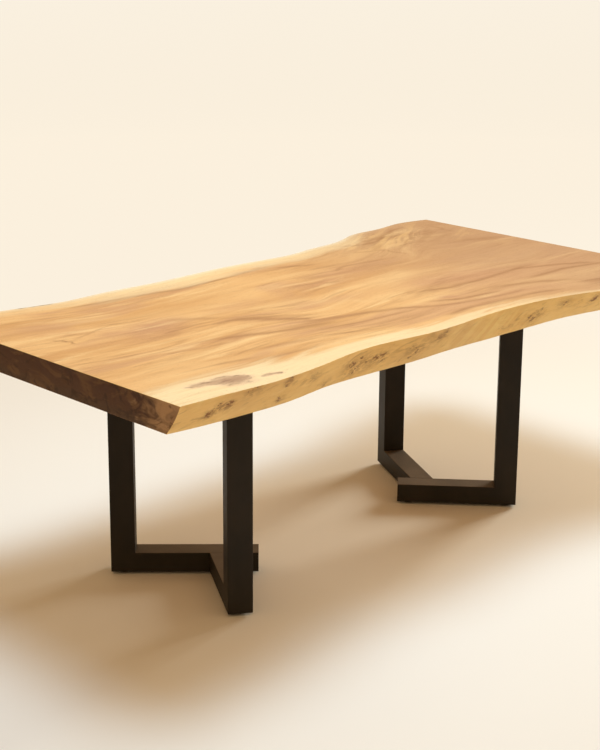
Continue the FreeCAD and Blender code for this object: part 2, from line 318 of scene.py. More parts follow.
def bark():
    """Marks of the bark flecks, strewn over their clusters, and of the brown stain round each cluster."""
    draw = random.Random(BARK_SEED)
    flecks, stains = [], []
    for x, height, reach, count, lean, depth in BARK_CLUSTERS:
        middle_x, middle_z, spread = CM * x, CM * height, MM * reach
        slope = math.tan(math.radians(lean))
        for _ in range(count):
            along = draw.uniform(-1.0, 1.0) * spread
            above = along * slope + draw.uniform(-1.0, 1.0) * (0.007 + 0.30 * spread)
            flecks.append((
                middle_x + along, middle_z + above, draw.uniform(*FLECK_LENGTH), draw.uniform(*FLECK_WIDTH),
                math.radians(lean + draw.uniform(-40.0, 40.0)), depth * draw.uniform(0.5, 0.9),
            ))
        stain = (0.010 + 1.2 * spread, 0.010 + 0.35 * spread, math.radians(lean), 0.85 * depth)
        stains.append((middle_x, middle_z, *stain))
    return flecks, stains


# --- Wiring of shader nodes ---
class Wiring:
    """Adds nodes to one tree in reading order and links or sets their inputs."""

    def __init__(self, tree):
        self.tree = tree
        self.count = 0

    def node(self, kind, **settings):
        made = self.tree.nodes.new(kind)
        made.location = (220 * (self.count % 10), -300 * (self.count // 10))
        self.count += 1
        for name, value in settings.items():
            setattr(made, name, value)
        return made

    def feed(self, socket, value):
        if isinstance(value, bpy.types.NodeSocket):
            self.tree.links.new(value, socket)
        elif socket.type == "RGBA":
            socket.default_value = (*value, 1.0)
        else:
            socket.default_value = value

    def add(self, kind, *values, **settings):
        """A new node with its first inputs fed in order; returns its outputs."""
        made = self.node(kind, **settings)
        for socket, value in zip(made.inputs, values):
            self.feed(socket, value)
        return made.outputs

    def wire(self, node, **values):
        """Feeds a node's inputs by their names, underscores for spaces; returns its outputs."""
        for name, value in values.items():
            self.feed(node.inputs[name.replace("_", " ")], value)
        return node.outputs

    def maths(self, operation, *values):
        return self.add("ShaderNodeMath", *values, operation=operation)[0]

    def times(self, *values):
        return reduce(partial(self.maths, "MULTIPLY"), values)

    def plus(self, *values):
        return reduce(partial(self.maths, "ADD"), values)

    def minus(self, value, taken):
        return self.maths("SUBTRACT", value, taken)

    def over(self, value, divisor):
        return self.maths("DIVIDE", value, divisor)

    def sway(self, value, amount):
        """A noise value about 0.5 made a shift to either side."""
        return self.times(self.minus(value, 0.5), amount)

    def split(self, vector):
        return self.add("ShaderNodeSeparateXYZ", vector)

    def join(self, x, y, z=0.0):
        return self.add("ShaderNodeCombineXYZ", x, y, z)[0]

    def stretch(self, vector, scale):
        return self.add("ShaderNodeVectorMath", vector, scale, operation="MULTIPLY")[0]

    def noise(self, vector, stretch=None, detail=2.0, roughness=0.5, distortion=0.0):
        """Noise of scale 1, on a vector that is stretched first where a stretch is given."""
        if stretch:
            vector = self.stretch(vector, stretch)
        return self.wire(
            self.node("ShaderNodeTexNoise"),
            Vector=vector, Scale=1.0, Detail=detail, Roughness=roughness, Distortion=distortion,
        )[0]

    def range(self, value, low, high, to_low=0.0, to_high=1.0, kind="SMOOTHSTEP"):
        """Turns low to high into to_low to to_high, softly at both ends, and stays within them."""
        return self.add(
            "ShaderNodeMapRange", value, low, high, to_low, to_high, interpolation_type=kind, clamp=True,
        )[0]

    def ramp(self, *numbers):
        """A range that runs straight from end to end."""
        return self.range(*numbers, kind="LINEAR")

    def mix(self, factor, first, second):
        made = self.node("ShaderNodeMix", data_type="RGBA")
        for index, value in ((0, factor), (6, first), (7, second)):
            self.feed(made.inputs[index], value)
        return made.outputs[2]

    def curve(self, factor, values):
        """Float curve through evenly spaced values, each already between 0 and 1."""
        made = self.node("ShaderNodeFloatCurve")
        line = made.mapping.curves[0]
        last = len(values) - 1
        line.points[0].location = (0.0, values[0])
        line.points[1].location = (1.0, values[last])
        for index in range(1, last):
            line.points.new(index / last, values[index])
        made.mapping.update()
        self.feed(made.inputs[0], 1.0)
        self.feed(made.inputs[1], factor)
        return made.outputs[0]

    def bump(self, height, strength, distance):
        return self.wire(self.node("ShaderNodeBump"), Height=height, Strength=strength, Distance=distance)[0]

    def place(self, group, **values):
        """Places a node group and feeds its inputs by their names."""
        return self.wire(self.node("ShaderNodeGroup", node_tree=group), **values)


class Finish(Wiring):
    """Wiring of one new material: colours are painted over its base, then the shader is fed."""

    def __init__(self, name):
        self.material = bpy.data.materials.new(name)
        self.material.use_nodes = True
        super().__init__(self.material.node_tree)
        self.position = self.node("ShaderNodeTexCoord").outputs["Object"]
        self.x, self.y, self.z = self.split(self.position)
        self.base = None

    def paint(self, tint, *masks):
        """Lays a colour over the base, as much as the product of the masks says."""
        self.base = self.mix(self.times(*masks), self.base, tint)

    def finish(self, gloss, normal, **values):
        shader = self.tree.nodes["Principled BSDF"]
        self.wire(shader, Base_Color=self.base, Roughness=gloss, Normal=normal, **values)
        self.material.diffuse_color = VIEWPORT_COLOUR
        return self.material


def node_group(name, inputs, outputs):
    """Turns a function that wires a group's inputs to its outputs into one that returns the group."""
    def decorate(fill):
        def group():
            if name in bpy.data.node_groups:
                return bpy.data.node_groups[name]
            tree = bpy.data.node_groups.new(name, "ShaderNodeTree")
            for side, labels in (("INPUT", inputs), ("OUTPUT", outputs)):
                for label in labels:
                    kind = "NodeSocketVector" if label in VECTOR_SOCKETS else "NodeSocketFloat"
                    tree.interface.new_socket(label, in_out=side, socket_type=kind)
            w = Wiring(tree)
            entry = w.node("NodeGroupInput").outputs
            leave = w.node("NodeGroupOutput").inputs
            for label, value in zip(outputs, fill(w, *entry[:len(inputs)])):
                w.feed(leave[label], value)
            return tree
        return group
    return decorate


@node_group(
    "slab_rims", ("Position",),
    ("From Front", "From Back", "Share", "Front Sapwood", "Back Sapwood", "Front Paleness", "Back Paleness"),
)
def rim_group(w, position):
    """How far a point is from each live edge, its share of the way across, and the sapwood there."""
    x, y, _ = w.split(position)
    along = w.ramp(x, SLAB_LOW.x, SLAB_HIGH.x)
    reach = []
    for values in (rim_distances(-1), rim_distances(1), FRONT_SAPWOOD, BACK_SAPWOOD):
        shares = [value / CURVE_SPAN for value in values]
        reach.append(w.times(w.curve(along, shares), CURVE_SPAN))
    front = w.plus(reach[0], y)
    back = w.minus(reach[1], y)
    share = w.over(front, w.plus(front, back))
    paleness = [w.curve(along, values) for values in (FRONT_PALENESS, BACK_PALENESS)]
    return front, back, share, *reach[2:], *paleness


@node_group("grain_flow", ("Position", "Wander", "Wave"), ("Flow",))
def flow_group(w, position, wander, wave):
    """A position that runs along the grain: x stays, y follows the live edges and wanders."""
    x, y, z = w.split(position)
    across = w.times(w.place(rim_group(), Position=position)["Share"], 1.05)
    at = w.join(x, across, z)
    slow = w.noise(at, (1.3, 2.6, 1.0), detail=1.0)
    quick = w.noise(at, (3.6, 10.0, 1.0))
    parts = [across, w.sway(slow, wander), w.sway(quick, wave)]
    for middle_x, middle_y, reach_x, reach_y, push in GRAIN_SWINGS:
        fade, _ = bell(w, x, y, (middle_x, middle_y), (reach_x, reach_y))
        parts.append(w.times(fade, push))
    for middle_x, middle_y, half_length, half_width, _, depth in legs(KNOTS):
        reach = (KNOT_REACH[0] * half_length, KNOT_REACH[1] * half_width)
        fade, side = bell(w, x, y, (middle_x, middle_y), reach)
        parts.append(w.times(side, fade, KNOT_PUSH * half_width * depth))
    return [w.join(x, w.plus(*parts), z)]


def bell(w, u, v, middle, reach):
    """A soft round hill, 1 over its middle, with how far to its side a point lies."""
    along = w.over(w.minus(u, middle[0]), reach[0])
    side = w.over(w.minus(v, middle[1]), reach[1])
    near = w.plus(w.times(along, along), w.times(side, side))
    return w.maths("EXPONENT", w.times(near, -1.0)), side


@node_group("wood_figure", ("Flow",), ("Bands", "Brush", "Streaks", "Lines", "Pores", "Patchy"))
def figure_group(w, flow):
    """Figure of the wood along the grain: bands, brush strokes, streaks, fine lines, pores and patches."""
    pores = w.range(w.noise(flow, (95.0, 1900.0, 400.0), detail=1.0), 0.6, 0.7)
    return (
        w.range(w.noise(flow, (0.9, 6.5, 3.0), roughness=0.55, distortion=0.7), 0.32, 0.68),
        w.ramp(w.noise(flow, (2.4, 19.0, 8.0), detail=4.0, roughness=0.58, distortion=0.9), 0.28, 0.72),
        w.ramp(w.noise(flow, (5.0, 70.0, 14.0), detail=3.0, roughness=0.62, distortion=0.5), 0.28, 0.72),
        w.range(w.noise(flow, (10.0, 230.0, 40.0), detail=3.0, roughness=0.6), 0.28, 0.72),
        w.times(pores, w.range(w.noise(flow, (14.0, 60.0, 20.0), detail=1.0), 0.4, 0.6)),
        w.range(w.noise(flow, (2.3, 6.0, 3.0)), 0.36, 0.62),
    )


@node_group(
    "wood_mark", ("U", "V", "Middle U", "Middle V", "Half Length", "Half Width", "Lean", "Depth"), ("Mask",),
)
def mark_group(w, u, v, middle_u, middle_v, half_length, half_width, lean, depth):
    """A soft mark of given place, size and lean: 1 in its middle, 0 outside."""
    off_u, off_v = w.minus(u, middle_u), w.minus(v, middle_v)
    cosine, sine = w.maths("COSINE", lean), w.maths("SINE", lean)
    along = w.plus(w.times(off_u, cosine), w.times(off_v, sine))
    aside = w.minus(w.times(off_v, cosine), w.times(off_u, sine))
    along, aside = w.over(along, half_length), w.over(aside, half_width)
    reach = w.plus(w.maths("POWER", w.maths("ABSOLUTE", along), 3.0), w.times(aside, aside))
    return [w.times(w.maths("EXPONENT", w.times(reach, -1.0)), depth)]


def wavering(w, u, v, rate, reach):
    """Two coordinates with a wobble of given rate and reach, so that marks drawn on them come out ragged."""
    bent = []
    for value, amount, seed in ((u, reach[0], 3.1), (v, reach[1], 8.7)):
        wobble = w.noise(w.join(u, v, seed), (*rate, 1.0), detail=3.0, roughness=0.6)
        bent.append(w.plus(value, w.sway(wobble, amount)))
    return bent


def marks(w, u, v, table):
    """Sum of the marks in a table, kept between 0 and 1."""
    masks = [w.add("ShaderNodeGroup", u, v, *mark, node_tree=mark_group())["Mask"] for mark in table]
    return w.maths("MINIMUM", w.plus(*masks), 1.0)


# --- Wood finishes ---
def sapwood_masks(w, figure):
    """Front and back sapwood, with a boundary that breaks up along the grain, and how far the rims are."""
    rims = w.place(rim_group(), Position=w.position)
    ragged = [w.sway(figure[part], amount) for part, amount in RAGGED_BORDER]
    masks = []
    for side, blur in (("Front", w.range(w.x, -0.95, -0.25, 0.042, 0.02)), ("Back", 0.034)):
        edge = w.plus(rims[f"{side} Sapwood"], *ragged)
        inside = w.minus(edge, rims[f"From {side}"])
        soft = w.plus(w.over(inside, w.times(blur, 2.0)), 0.5)
        masks.append(w.times(w.range(soft, 0.0, 1.0), rims[f"{side} Paleness"]))
    return masks, rims


def top_material(s):
    """Oiled top: honey heartwood with brown streaks, ruddy patches, cream sapwood, curls and knots."""
    w = Finish("slab_top_wood")
    flow = w.place(flow_group(), Position=w.position, Wander=0.11, Wave=0.034)["Flow"]
    figure = w.place(figure_group(), Flow=flow)
    stroke = wavering(w, w.x, w.y, (9.0, 34.0), (0.06, 0.016))
    calm, _ = bell(w, w.x, w.y, CALM_MIDDLE, CALM_REACH)
    w.base = w.mix(figure["Bands"], s.heartwood_light, s.heartwood_dark)
    cloud = w.noise(flow, (2.2, 7.0, 1.0), detail=3.0, roughness=0.55, distortion=0.5)
    w.paint(s.ruddy, w.range(cloud, 0.48, 0.7, 0.0, 0.6))
    w.paint(s.heartwood_right, w.range(w.x, -0.15, 0.9, 0.0, 0.8))
    w.paint(s.honey, w.range(cloud, 0.28, 0.46, 0.5, 0.0), w.range(calm, 0.0, 1.0, 0.5, 1.0))
    w.paint(s.honey, marks(w, *stroke, legs(PALE_PATCHES)), 0.6)
    w.paint(s.ruddy, marks(w, *stroke, legs(RUDDY_PATCHES)), 0.9)
    contrast = w.times(w.range(figure["Patchy"], 0.0, 1.0, 0.22, 1.0), w.range(calm, 0.0, 1.0, 1.0, 0.35))
    fading = w.range(w.x, 0.1, 0.8, 1.0, 0.35)
    w.paint(s.honey, w.range(figure["Brush"], 0.1, 0.5, 0.6, 0.0), contrast, fading)
    w.paint(s.streak, w.range(figure["Brush"], 0.52, 0.95, 0.0, 0.52), contrast)
    w.paint(s.streak, w.range(figure["Streaks"], 0.55, 1.0, 0.0, 0.4), contrast)
    w.paint(s.streak, w.range(figure["Lines"], 0.5, 1.0, 0.0, 0.15), contrast)
    curled(w, s)
    w.paint(s.streak, marks(w, *stroke, legs(STREAKS)), 0.84)
    (front_sap, back_sap), rims = sapwood_masks(w, figure)
    pale = w.mix(w.range(figure["Lines"], 0.3, 1.0, 0.0, 0.22), s.sapwood, (0.86, 0.6, 0.29))
    pale = w.mix(w.range(figure["Streaks"], 0.55, 1.0, 0.0, 0.5), pale, (0.84, 0.56, 0.26))
    w.paint(pale, front_sap, 0.97)
    w.paint(pale, back_sap, 0.85)
    # Painted highlight: a pale greyish line along the back rim where the far edge catches the light, laid
    # over the pale sapwood.
    w.paint((0.92, 0.83, 0.62), w.range(rims["From Back"], 0.004, 0.03, 0.65, 0.0), rims["Back Paleness"])
    bark_rim(w, rims)
    knotted(w, s)
    w.paint((0.22, 0.1, 0.04), figure["Pores"], 0.5)
    gloss = w.plus(w.ramp(figure["Lines"], 0.0, 1.0, 0.4, 0.5), w.times(figure["Pores"], 0.2))
    grain = w.minus(w.times(figure["Lines"], 0.35), figure["Pores"])
    return w.finish(gloss, w.bump(grain, 0.35, 0.0003), Specular_IOR_Level=0.4)


def bark_rim(w, rims):
    """A thin line of grey bark left along the back rim, near its left end."""
    ragged = w.noise(w.join(w.times(w.x, 45.0), 0.0))
    near = w.range(w.maths("ABSOLUTE", w.minus(w.x, BARK_RIM_MIDDLE)), 0.045, 0.075, 1.0, 0.0)
    reach = w.times(near, w.minus(ragged, 0.12))
    inside = w.minus(w.times(reach, 0.022), rims["From Back"])
    w.paint((0.27, 0.2, 0.105), w.range(inside, -0.001, 0.004, 0.0, 0.75))


def knotted(w, s):
    """Knots near the front corner: a greyish heart with a torn outline inside a pinkish halo."""
    torn_x, torn_y = wavering(w, w.x, w.y, (26.0, 48.0), (0.07, 0.03))
    knots = marks(w, torn_x, torn_y, legs(KNOTS))
    w.paint((0.8, 0.52, 0.33), w.range(knots, 0.02, 0.45, 0.0, 0.55))
    w.paint(s.knot, w.range(knots, 0.34, 0.98, 0.0, 0.88))
    rings = w.noise(w.join(torn_x, torn_y), (14.0, 90.0, 1.0), detail=3.0)
    w.paint((0.26, 0.135, 0.075), w.range(rings, 0.5, 0.66), w.range(knots, 0.3, 0.7, 0.0, 0.75))
    rim = w.times(w.range(knots, 0.34, 0.5), w.range(knots, 0.56, 0.74, 1.0, 0.0))
    w.paint((0.3, 0.17, 0.09), rim, w.range(rings, 0.4, 0.6, 0.0, 0.6))


def curled(w, s):
    """Golden and brown curls in the wide part of the back edge."""
    near, _ = bell(w, w.x, w.y, CURL_MIDDLE, CURL_REACH)
    leaning = w.join(w.x, w.minus(w.y, w.times(w.x, 0.5)))
    curls = w.noise(leaning, (3.2, 11.0, 1.0), detail=3.0, distortion=1.1)
    w.paint((0.8, 0.5, 0.2), w.range(curls, 0.34, 0.52, 0.6, 0.0), near)
    w.paint(s.streak, w.range(curls, 0.5, 0.64, 0.0, 0.5), near)
    edge = w.times(w.range(curls, 0.44, 0.49), w.range(curls, 0.49, 0.54, 1.0, 0.0))
    w.paint((0.28, 0.13, 0.055), edge, near, 0.35)


def live_edge_material(s):
    """Debarked natural edge: golden olive with soft swirls, and ragged flecks of bark in clusters."""
    w = Finish("slab_live_edge")
    leaning, steep = (w.join(w.x, w.y, w.minus(w.z, w.times(w.x, slope))) for slope in (0.22, 0.8))
    swirl = w.noise(w.position, (5.0, 2.0, 18.0), detail=3.0, distortion=1.8)
    tone = w.noise(w.position, (2.6, 1.0, 7.0))
    curls = w.noise(leaning, (12.0, 1.0, 44.0), detail=3.0, roughness=0.55, distortion=1.5)
    brushed = w.noise(steep, (7.0, 1.0, 60.0))
    fibres = w.noise(w.position, (26.0, 26.0, 360.0), detail=3.0, roughness=0.6)
    w.base = w.mix(w.range(swirl, 0.36, 0.64), (0.95, 0.66, 0.26), s.live_edge)
    w.paint((0.65, 0.4, 0.16), w.range(tone, 0.48, 0.7, 0.0, 0.45))
    w.paint((0.42, 0.245, 0.09), w.range(curls, 0.54, 0.72, 0.0, 0.42))
    w.paint((0.95, 0.7, 0.3), w.range(curls, 0.28, 0.42, 0.4, 0.0))
    yellow, _ = bell(w, w.x, w.z, YELLOW_MIDDLE, YELLOW_REACH)
    w.paint((0.98, 0.76, 0.32), w.range(brushed, 0.42, 0.6), yellow, 0.6)
    w.paint((0.38, 0.21, 0.075), w.range(fibres, 0.5, 0.8, 0.0, 0.14))
    specks = w.noise(leaning, (70.0, 1.0, 240.0))
    clusters = w.noise(w.position, (6.0, 2.0, 14.0))
    loose = w.times(w.range(specks, 0.6, 0.7), w.range(clusters, 0.54, 0.66))
    front = w.range(w.y, -0.05, 0.05, 1.0, 0.0)
    torn_at = wavering(w, w.x, w.z, (130.0, 260.0), (0.03, 0.0130))
    placed, stains = (w.times(marks(w, *torn_at, table), front) for table in bark())
    torn = w.noise(leaning, (46.0, 1.0, 150.0), detail=4.0, roughness=0.65, distortion=0.8)
    w.paint((0.37, 0.195, 0.068), stains, w.range(torn, 0.42, 0.56, 0.2, 1.0))
    halo = w.maths("MAXIMUM", w.range(placed, 0.01, 0.3, 0.0, 0.6), w.times(loose, 0.45))
    flecks = w.range(placed, 0.18, 0.48)
    w.paint((0.43, 0.215, 0.08), halo)
    w.paint(s.bark, flecks, 0.86)
    gloss = w.ramp(fibres, 0.0, 1.0, 0.5, 0.66)
    depth = w.plus(w.times(fibres, 0.1), w.times(curls, 0.4), w.times(flecks, -0.6), w.times(halo, -0.4))
    return w.finish(gloss, w.bump(depth, 0.5, 0.0014), Specular_IOR_Level=0.35)


def end_material(s):
    """Sawn ends: dark oiled end grain, mottled, with faint growth rings and paler wood at the corners."""
    w = Finish("slab_end_grain")
    rims = w.place(rim_group(), Position=w.position)
    warp = w.noise(w.position, (2.0, 6.0, 12.0))
    squares = [w.maths("POWER", w.minus(value, middle), 2.0) for value, middle in zip((w.y, w.z), PITH)]
    radius = w.maths("SQRT", w.plus(*squares))
    rings_at = w.join(w.plus(radius, w.times(warp, 0.1)), 0.0, w.y)
    rings = w.noise(rings_at, (70.0, 1.0, 9.0), detail=3.0)
    pores = w.noise(w.position, (400.0, 900.0, 900.0), detail=1.0)
    mottle = w.noise(w.position, (3.0, 15.0, 24.0), detail=3.0, roughness=0.55, distortion=1.6)
    blotches = w.noise(w.position, (3.0, 9.0, 22.0), detail=3.0, roughness=0.6, distortion=1.0)
    patchy = w.range(w.x, -0.5, 0.5, 1.0, 0.35)
    w.base = w.mix(w.range(rings, 0.34, 0.7, 0.0, 0.45), s.end_grain, (0.11, 0.052, 0.022))
    height = w.ramp(w.z, SLAB_LOW.z, SLAB_HIGH.z)
    w.paint((0.06, 0.018, 0.008), w.range(height, 0.35, 1.0, 0.0, 0.55))
    w.paint((0.088, 0.056, 0.03), w.range(height, 0.0, 0.45, 0.65, 0.0))
    w.paint((0.175, 0.09, 0.036), w.range(blotches, 0.5, 0.64, 0.0, 0.6), patchy)
    w.paint((0.045, 0.022, 0.012), w.range(mottle, 0.54, 0.66, 0.0, 0.65), patchy)
    near_rim = w.maths("MINIMUM", rims["From Front"], rims["From Back"])
    near_rim = w.plus(near_rim, w.sway(mottle, 0.22))
    w.paint((0.4, 0.245, 0.13), w.range(near_rim, 0.03, 0.17, 0.8, 0.0), patchy)
    pale_patch = w.times(w.range(blotches, 0.46, 0.56), w.range(near_rim, 0.04, 0.2, 0.8, 0.0))
    w.paint((0.47, 0.29, 0.15), pale_patch, patchy)
    dark_patch = w.times(w.range(mottle, 0.53, 0.6), w.range(near_rim, 0.05, 0.2, 0.6, 0.0))
    w.paint((0.095, 0.046, 0.022), dark_patch, patchy)
    w.paint((0.03, 0.012, 0.006), w.range(pores, 0.58, 0.68, 0.0, 0.5))
    depth = w.plus(w.times(rings, 0.5), w.times(pores, -0.6))
    gloss = w.ramp(mottle, 0.0, 1.0, 0.52, 0.7)
    return w.finish(gloss, w.bump(depth, 0.45, 0.0004), Specular_IOR_Level=0.3)


def underside_material():
    """Planed underside: the same wood, duller, with faint planer waves."""
    w = Finish("slab_underside")
    flow = w.place(flow_group(), Position=w.position, Wander=0.16, Wave=0.04)["Flow"]
    figure = w.place(figure_group(), Flow=w.stretch(flow, (1.0, 1.0, 2.5)))
    w.base = w.mix(figure["Bands"], (0.66, 0.385, 0.165), (0.46, 0.235, 0.09))
    w.paint((0.32, 0.145, 0.055), w.range(figure["Brush"], 0.5, 1.0, 0.0, 0.5))
    w.paint((0.3, 0.135, 0.05), w.range(figure["Streaks"], 0.4, 1.0, 0.0, 0.4))
    w.paint((0.26, 0.12, 0.045), w.range(figure["Lines"], 0.4, 1.0, 0.0, 0.3))
    sapwood, _ = sapwood_masks(w, figure)
    w.paint((0.7, 0.49, 0.24), w.maths("MAXIMUM", *sapwood), 0.8)
    w.paint((0.14, 0.06, 0.025), figure["Pores"], 0.5)
    planer = w.maths("SINE", w.times(w.x, 2 * math.pi / PLANER_WAVE))
    depth = w.plus(w.times(figure["Lines"], 0.4), w.times(planer, 0.08))
    gloss = w.ramp(figure["Lines"], 0.0, 1.0, 0.55, 0.68)
    return w.finish(gloss, w.bump(depth, 0.4, 0.0003), Specular_IOR_Level=0.3)


# --- Metal and plastic finishes ---
@node_group("fine_skin", ("Position", "Grain"), ("Peel", "Cloud", "Dust And Sheen"))
def coat_group(w, position, grain):
    """Fine skin of a sprayed or moulded surface: peel for bump, cloud for tone, and for upward faces a
    lighter mark that is partly dust and partly painted sheen.
    """
    fine = w.node("ShaderNodeVectorMath", operation="SCALE")
    w.feed(fine.inputs[0], position)
    w.feed(fine.inputs["Scale"], grain)
    _, _, up = w.split(w.node("ShaderNodeNewGeometry").outputs["Normal"])
    specks = w.noise(position, (520.0, 520.0, 520.0), roughness=0.7)
    drift = w.noise(position, (8.0, 8.0, 8.0))
    # Upward faces get a lighter mark: partly dust, partly a painted sheen where the tops catch the light.
    dust_and_sheen_amount = w.plus(w.range(drift, 0.3, 0.7, 0.38, 0.56), w.range(specks, 0.3, 0.7, -0.07, 0.09))
    return (
        w.noise(fine.outputs[0], roughness=0.55),
        w.noise(position, (9.0, 9.0, 5.0), detail=3.0, roughness=0.6),
        w.times(w.range(up, 0.5, 0.95), dust_and_sheen_amount),
    )


def skinned(name, grain, tint, shade):
    """A new material with a fine skin; its base is the tint, clouded with a darker or paler shade of it."""
    w = Finish(name)
    skin = w.place(coat_group(), Position=w.position, Grain=grain)
    w.base = w.mix(w.range(skin["Cloud"], 0.3, 0.7), tint, tuple(shade * channel for channel in tint))
    return w, skin


def steel_material(s):
    w, skin = skinned("powder_coated_steel", 620.0, s.coat, 1.7)
    # Upward faces painted lighter: partly dust, partly a painted sheen standing in for light caught by the
    # tops of the bars.
    w.paint((0.22, 0.165, 0.12), skin["Dust And Sheen"])
    gloss = w.ramp(skin["Cloud"], 0.2, 0.8, s.roughness - 0.05, s.roughness + 0.07)
    return w.finish(gloss, w.bump(skin["Peel"], 0.22, 0.00035), Specular_IOR_Level=0.25)


def zinc_material(s):
    w, skin = skinned("zinc_plated_steel", 1500.0, s.zinc, 0.62)
    w.paint((0.33, 0.31, 0.27), w.range(skin["Peel"], 0.4, 0.75, 0.0, 0.35))
    gloss = w.ramp(skin["Peel"], 0.2, 0.8, 0.28, 0.46)
    return w.finish(gloss, w.bump(skin["Peel"], 0.15, 0.0001), Metallic=1.0)


def brass_material(s):
    w, skin = skinned("turned_brass", 1300.0, s.brass, 0.55)
    turned = w.maths("SINE", w.times(w.z, 2 * math.pi / THREAD_PITCH))
    gloss = w.ramp(skin["Peel"], 0.2, 0.8, 0.25, 0.42)
    return w.finish(gloss, w.bump(turned, 0.5, 0.0002), Metallic=1.0)


def plastic_material(s):
    w, skin = skinned("moulded_foot_plastic", 1100.0, s.plastic, 2.2)
    gloss = w.ramp(skin["Peel"], 0.2, 0.8, 0.48, 0.62)
    return w.finish(gloss, w.bump(skin["Peel"], 0.25, 0.0002))


def finish_nodes(material, names):
    for name in names:
        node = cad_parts[name]
        if not node.material_slots:
            node.data.materials.append(material)
        for slot in node.material_slots:
            slot.material = material


# --- Modelling by hand ---
def add_object(name, data=None):
    made = bpy.data.objects.new(name, data)
    bpy.context.scene.collection.objects.link(made)
    return made


def select(*pieces):
    """Selects these pieces alone and makes the first one active."""
    if bpy.context.mode != "OBJECT":
        bpy.ops.object.mode_set(mode="OBJECT")
    bpy.ops.object.select_all(action="DESELECT")
    for piece in pieces:
        piece.select_set(True)
    if pieces:
        bpy.context.view_layer.objects.active = pieces[0]


@contextmanager
def edit_mode():
    bpy.ops.object.mode_set(mode="EDIT")
    yield
    bpy.ops.object.mode_set(mode="OBJECT")


def pick_edges(piece, test):
    """In edit mode, selects the edges that pass a test."""
    bpy.ops.mesh.select_mode(type="EDGE")
    bpy.ops.mesh.select_all(action="DESELECT")
    form = bmesh.from_edit_mesh(piece.data)
    for edge in form.edges:
        if test(edge):
            edge.select_set(True)
    form.select_flush_mode()
    bmesh.update_edit_mesh(piece.data)


def divide_along(piece, axis, cuts):
    """In edit mode, divides the longer edges that run along an axis."""
    def test(edge):
        run = edge.verts[1].co - edge.verts[0].co
        return abs(run[axis]) > SHORTEST_DIVIDED and abs(run[axis]) > 0.99 * run.length
    pick_edges(piece, test)
    bpy.ops.mesh.subdivide(number_cuts=cuts)


def apply_modifier(piece, kind, **settings):
    modifier = piece.modifiers.new(kind.lower(), kind)
    for name, value in settings.items():
        setattr(modifier, name, value)
    bpy.ops.object.modifier_apply(modifier=modifier.name)


def cloud_texture(name, size, depth):
    texture = bpy.data.textures.new(name, "CLOUDS")
    texture.noise_scale = size
    texture.noise_depth = depth
    return texture


def live_edge_slab(s):
    """The slab, from a box: divided finely, wrapped on the sawn blank, rippled, softened and bored."""
    middle = (SLAB_LOW + SLAB_HIGH) / 2
    size = SLAB_HIGH - SLAB_LOW
    box = size - 2 * WRAP_SLACK * Vector((1, 0, 1))
    select()
    bpy.ops.mesh.primitive_cube_add(size=1.0, location=middle, scale=box)
    piece = bpy.context.active_object
    piece.name = piece.data.name = "live_edge_slab"
    bpy.ops.object.transform_apply(location=True, rotation=False, scale=True)
    with edit_mode():
        for axis, cuts in SLAB_CUTS:
            divide_along(piece, axis, cuts)
    for name, test in (("front", lambda y: y < middle.y), ("back", lambda y: y > middle.y)):
        group = piece.vertex_groups.new(name=name)
        group.add([v.index for v in piece.data.vertices if test(v.co.y)], 1.0, "REPLACE")
    apply_modifier(
        piece, "SHRINKWRAP", target=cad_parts["tabletop_slab"], wrap_method="PROJECT",
        use_project_y=True, use_negative_direction=True, use_positive_direction=True,
    )
    with edit_mode():
        bpy.ops.mesh.select_all(action="SELECT")
        bpy.ops.transform.resize(value=(size.x / box.x, 1.0, size.z / box.z), center_override=middle)
    ripple_edges(piece, s)
    soften_edges(piece, s)
    bore_pockets(piece)
    bpy.ops.object.shade_smooth_by_angle(angle=SMOOTH_ANGLE)
    apply_modifier(piece, "WEIGHTED_NORMAL", keep_sharp=True, weight=80)
    return piece


def ripple_edges(piece, s):
    """Ripples and hollows the live edges along the tree, then brings them back to the blank's reach."""
    guide = add_object("ripple_guide")
    for name, size, depth, stretch in (
        ("broad_hollows", 0.16, s.hollow_depth, (1.0, 1.0, 0.8)),
        ("fine_ripples", 0.016, s.ripple_depth, (3.2, 1.0, 1.0)),
    ):
        guide.scale = stretch
        bpy.context.view_layer.update()
        texture = cloud_texture(name, size, 2)
        for side, inward in (("front", 1.0), ("back", -1.0)):
            apply_modifier(
                piece, "DISPLACE", texture=texture, texture_coords="OBJECT", texture_coords_object=guide,
                direction="Y", mid_level=0.5, strength=inward * depth, vertex_group=side,
            )
    bpy.data.objects.remove(guide)
    reach = [corner[1] for corner in piece.bound_box]
    low, high = min(reach), max(reach)
    middle = (low + high) / 2
    widen = (SLAB_HIGH.y - SLAB_LOW.y) / (high - low)
    with edit_mode():
        bpy.ops.mesh.select_all(action="SELECT")
        bpy.ops.transform.resize(value=(1.0, widen, 1.0), center_override=(0, middle, 0))
        bpy.ops.transform.translate(value=(0, (SLAB_LOW.y + SLAB_HIGH.y) / 2 - middle, 0))


def soften_edges(piece, s):
    with edit_mode():
        pick_edges(piece, lambda edge: len(edge.link_faces) == 2 and edge.calc_face_angle() > SOFTENED_ANGLE)
        bpy.ops.mesh.bevel(offset=s.rim_softening, segments=3, affect="EDGES", clamp_overlap=True)


def bore_pockets(piece):
    """Bores the pockets of the threaded inserts into the underside."""
    drills = []
    for x, y in [place for name in on_both_sides("wood_inserts") for place in solid_centres(name)]:
        select()
        bpy.ops.mesh.primitive_cylinder_add(
            vertices=40, radius=POCKET_RADIUS, depth=2 * POCKET_DEPTH, location=(x, y, SLAB_LOW.z),
        )
        bpy.ops.object.transform_apply(location=True, rotation=False, scale=False)
        drills.append(bpy.context.active_object)
    select(*drills)
    bpy.ops.object.join()
    drill = bpy.context.active_object
    select(piece)
    apply_modifier(piece, "BOOLEAN", operation="DIFFERENCE", object=drill, solver="EXACT")
    bpy.data.objects.remove(drill)


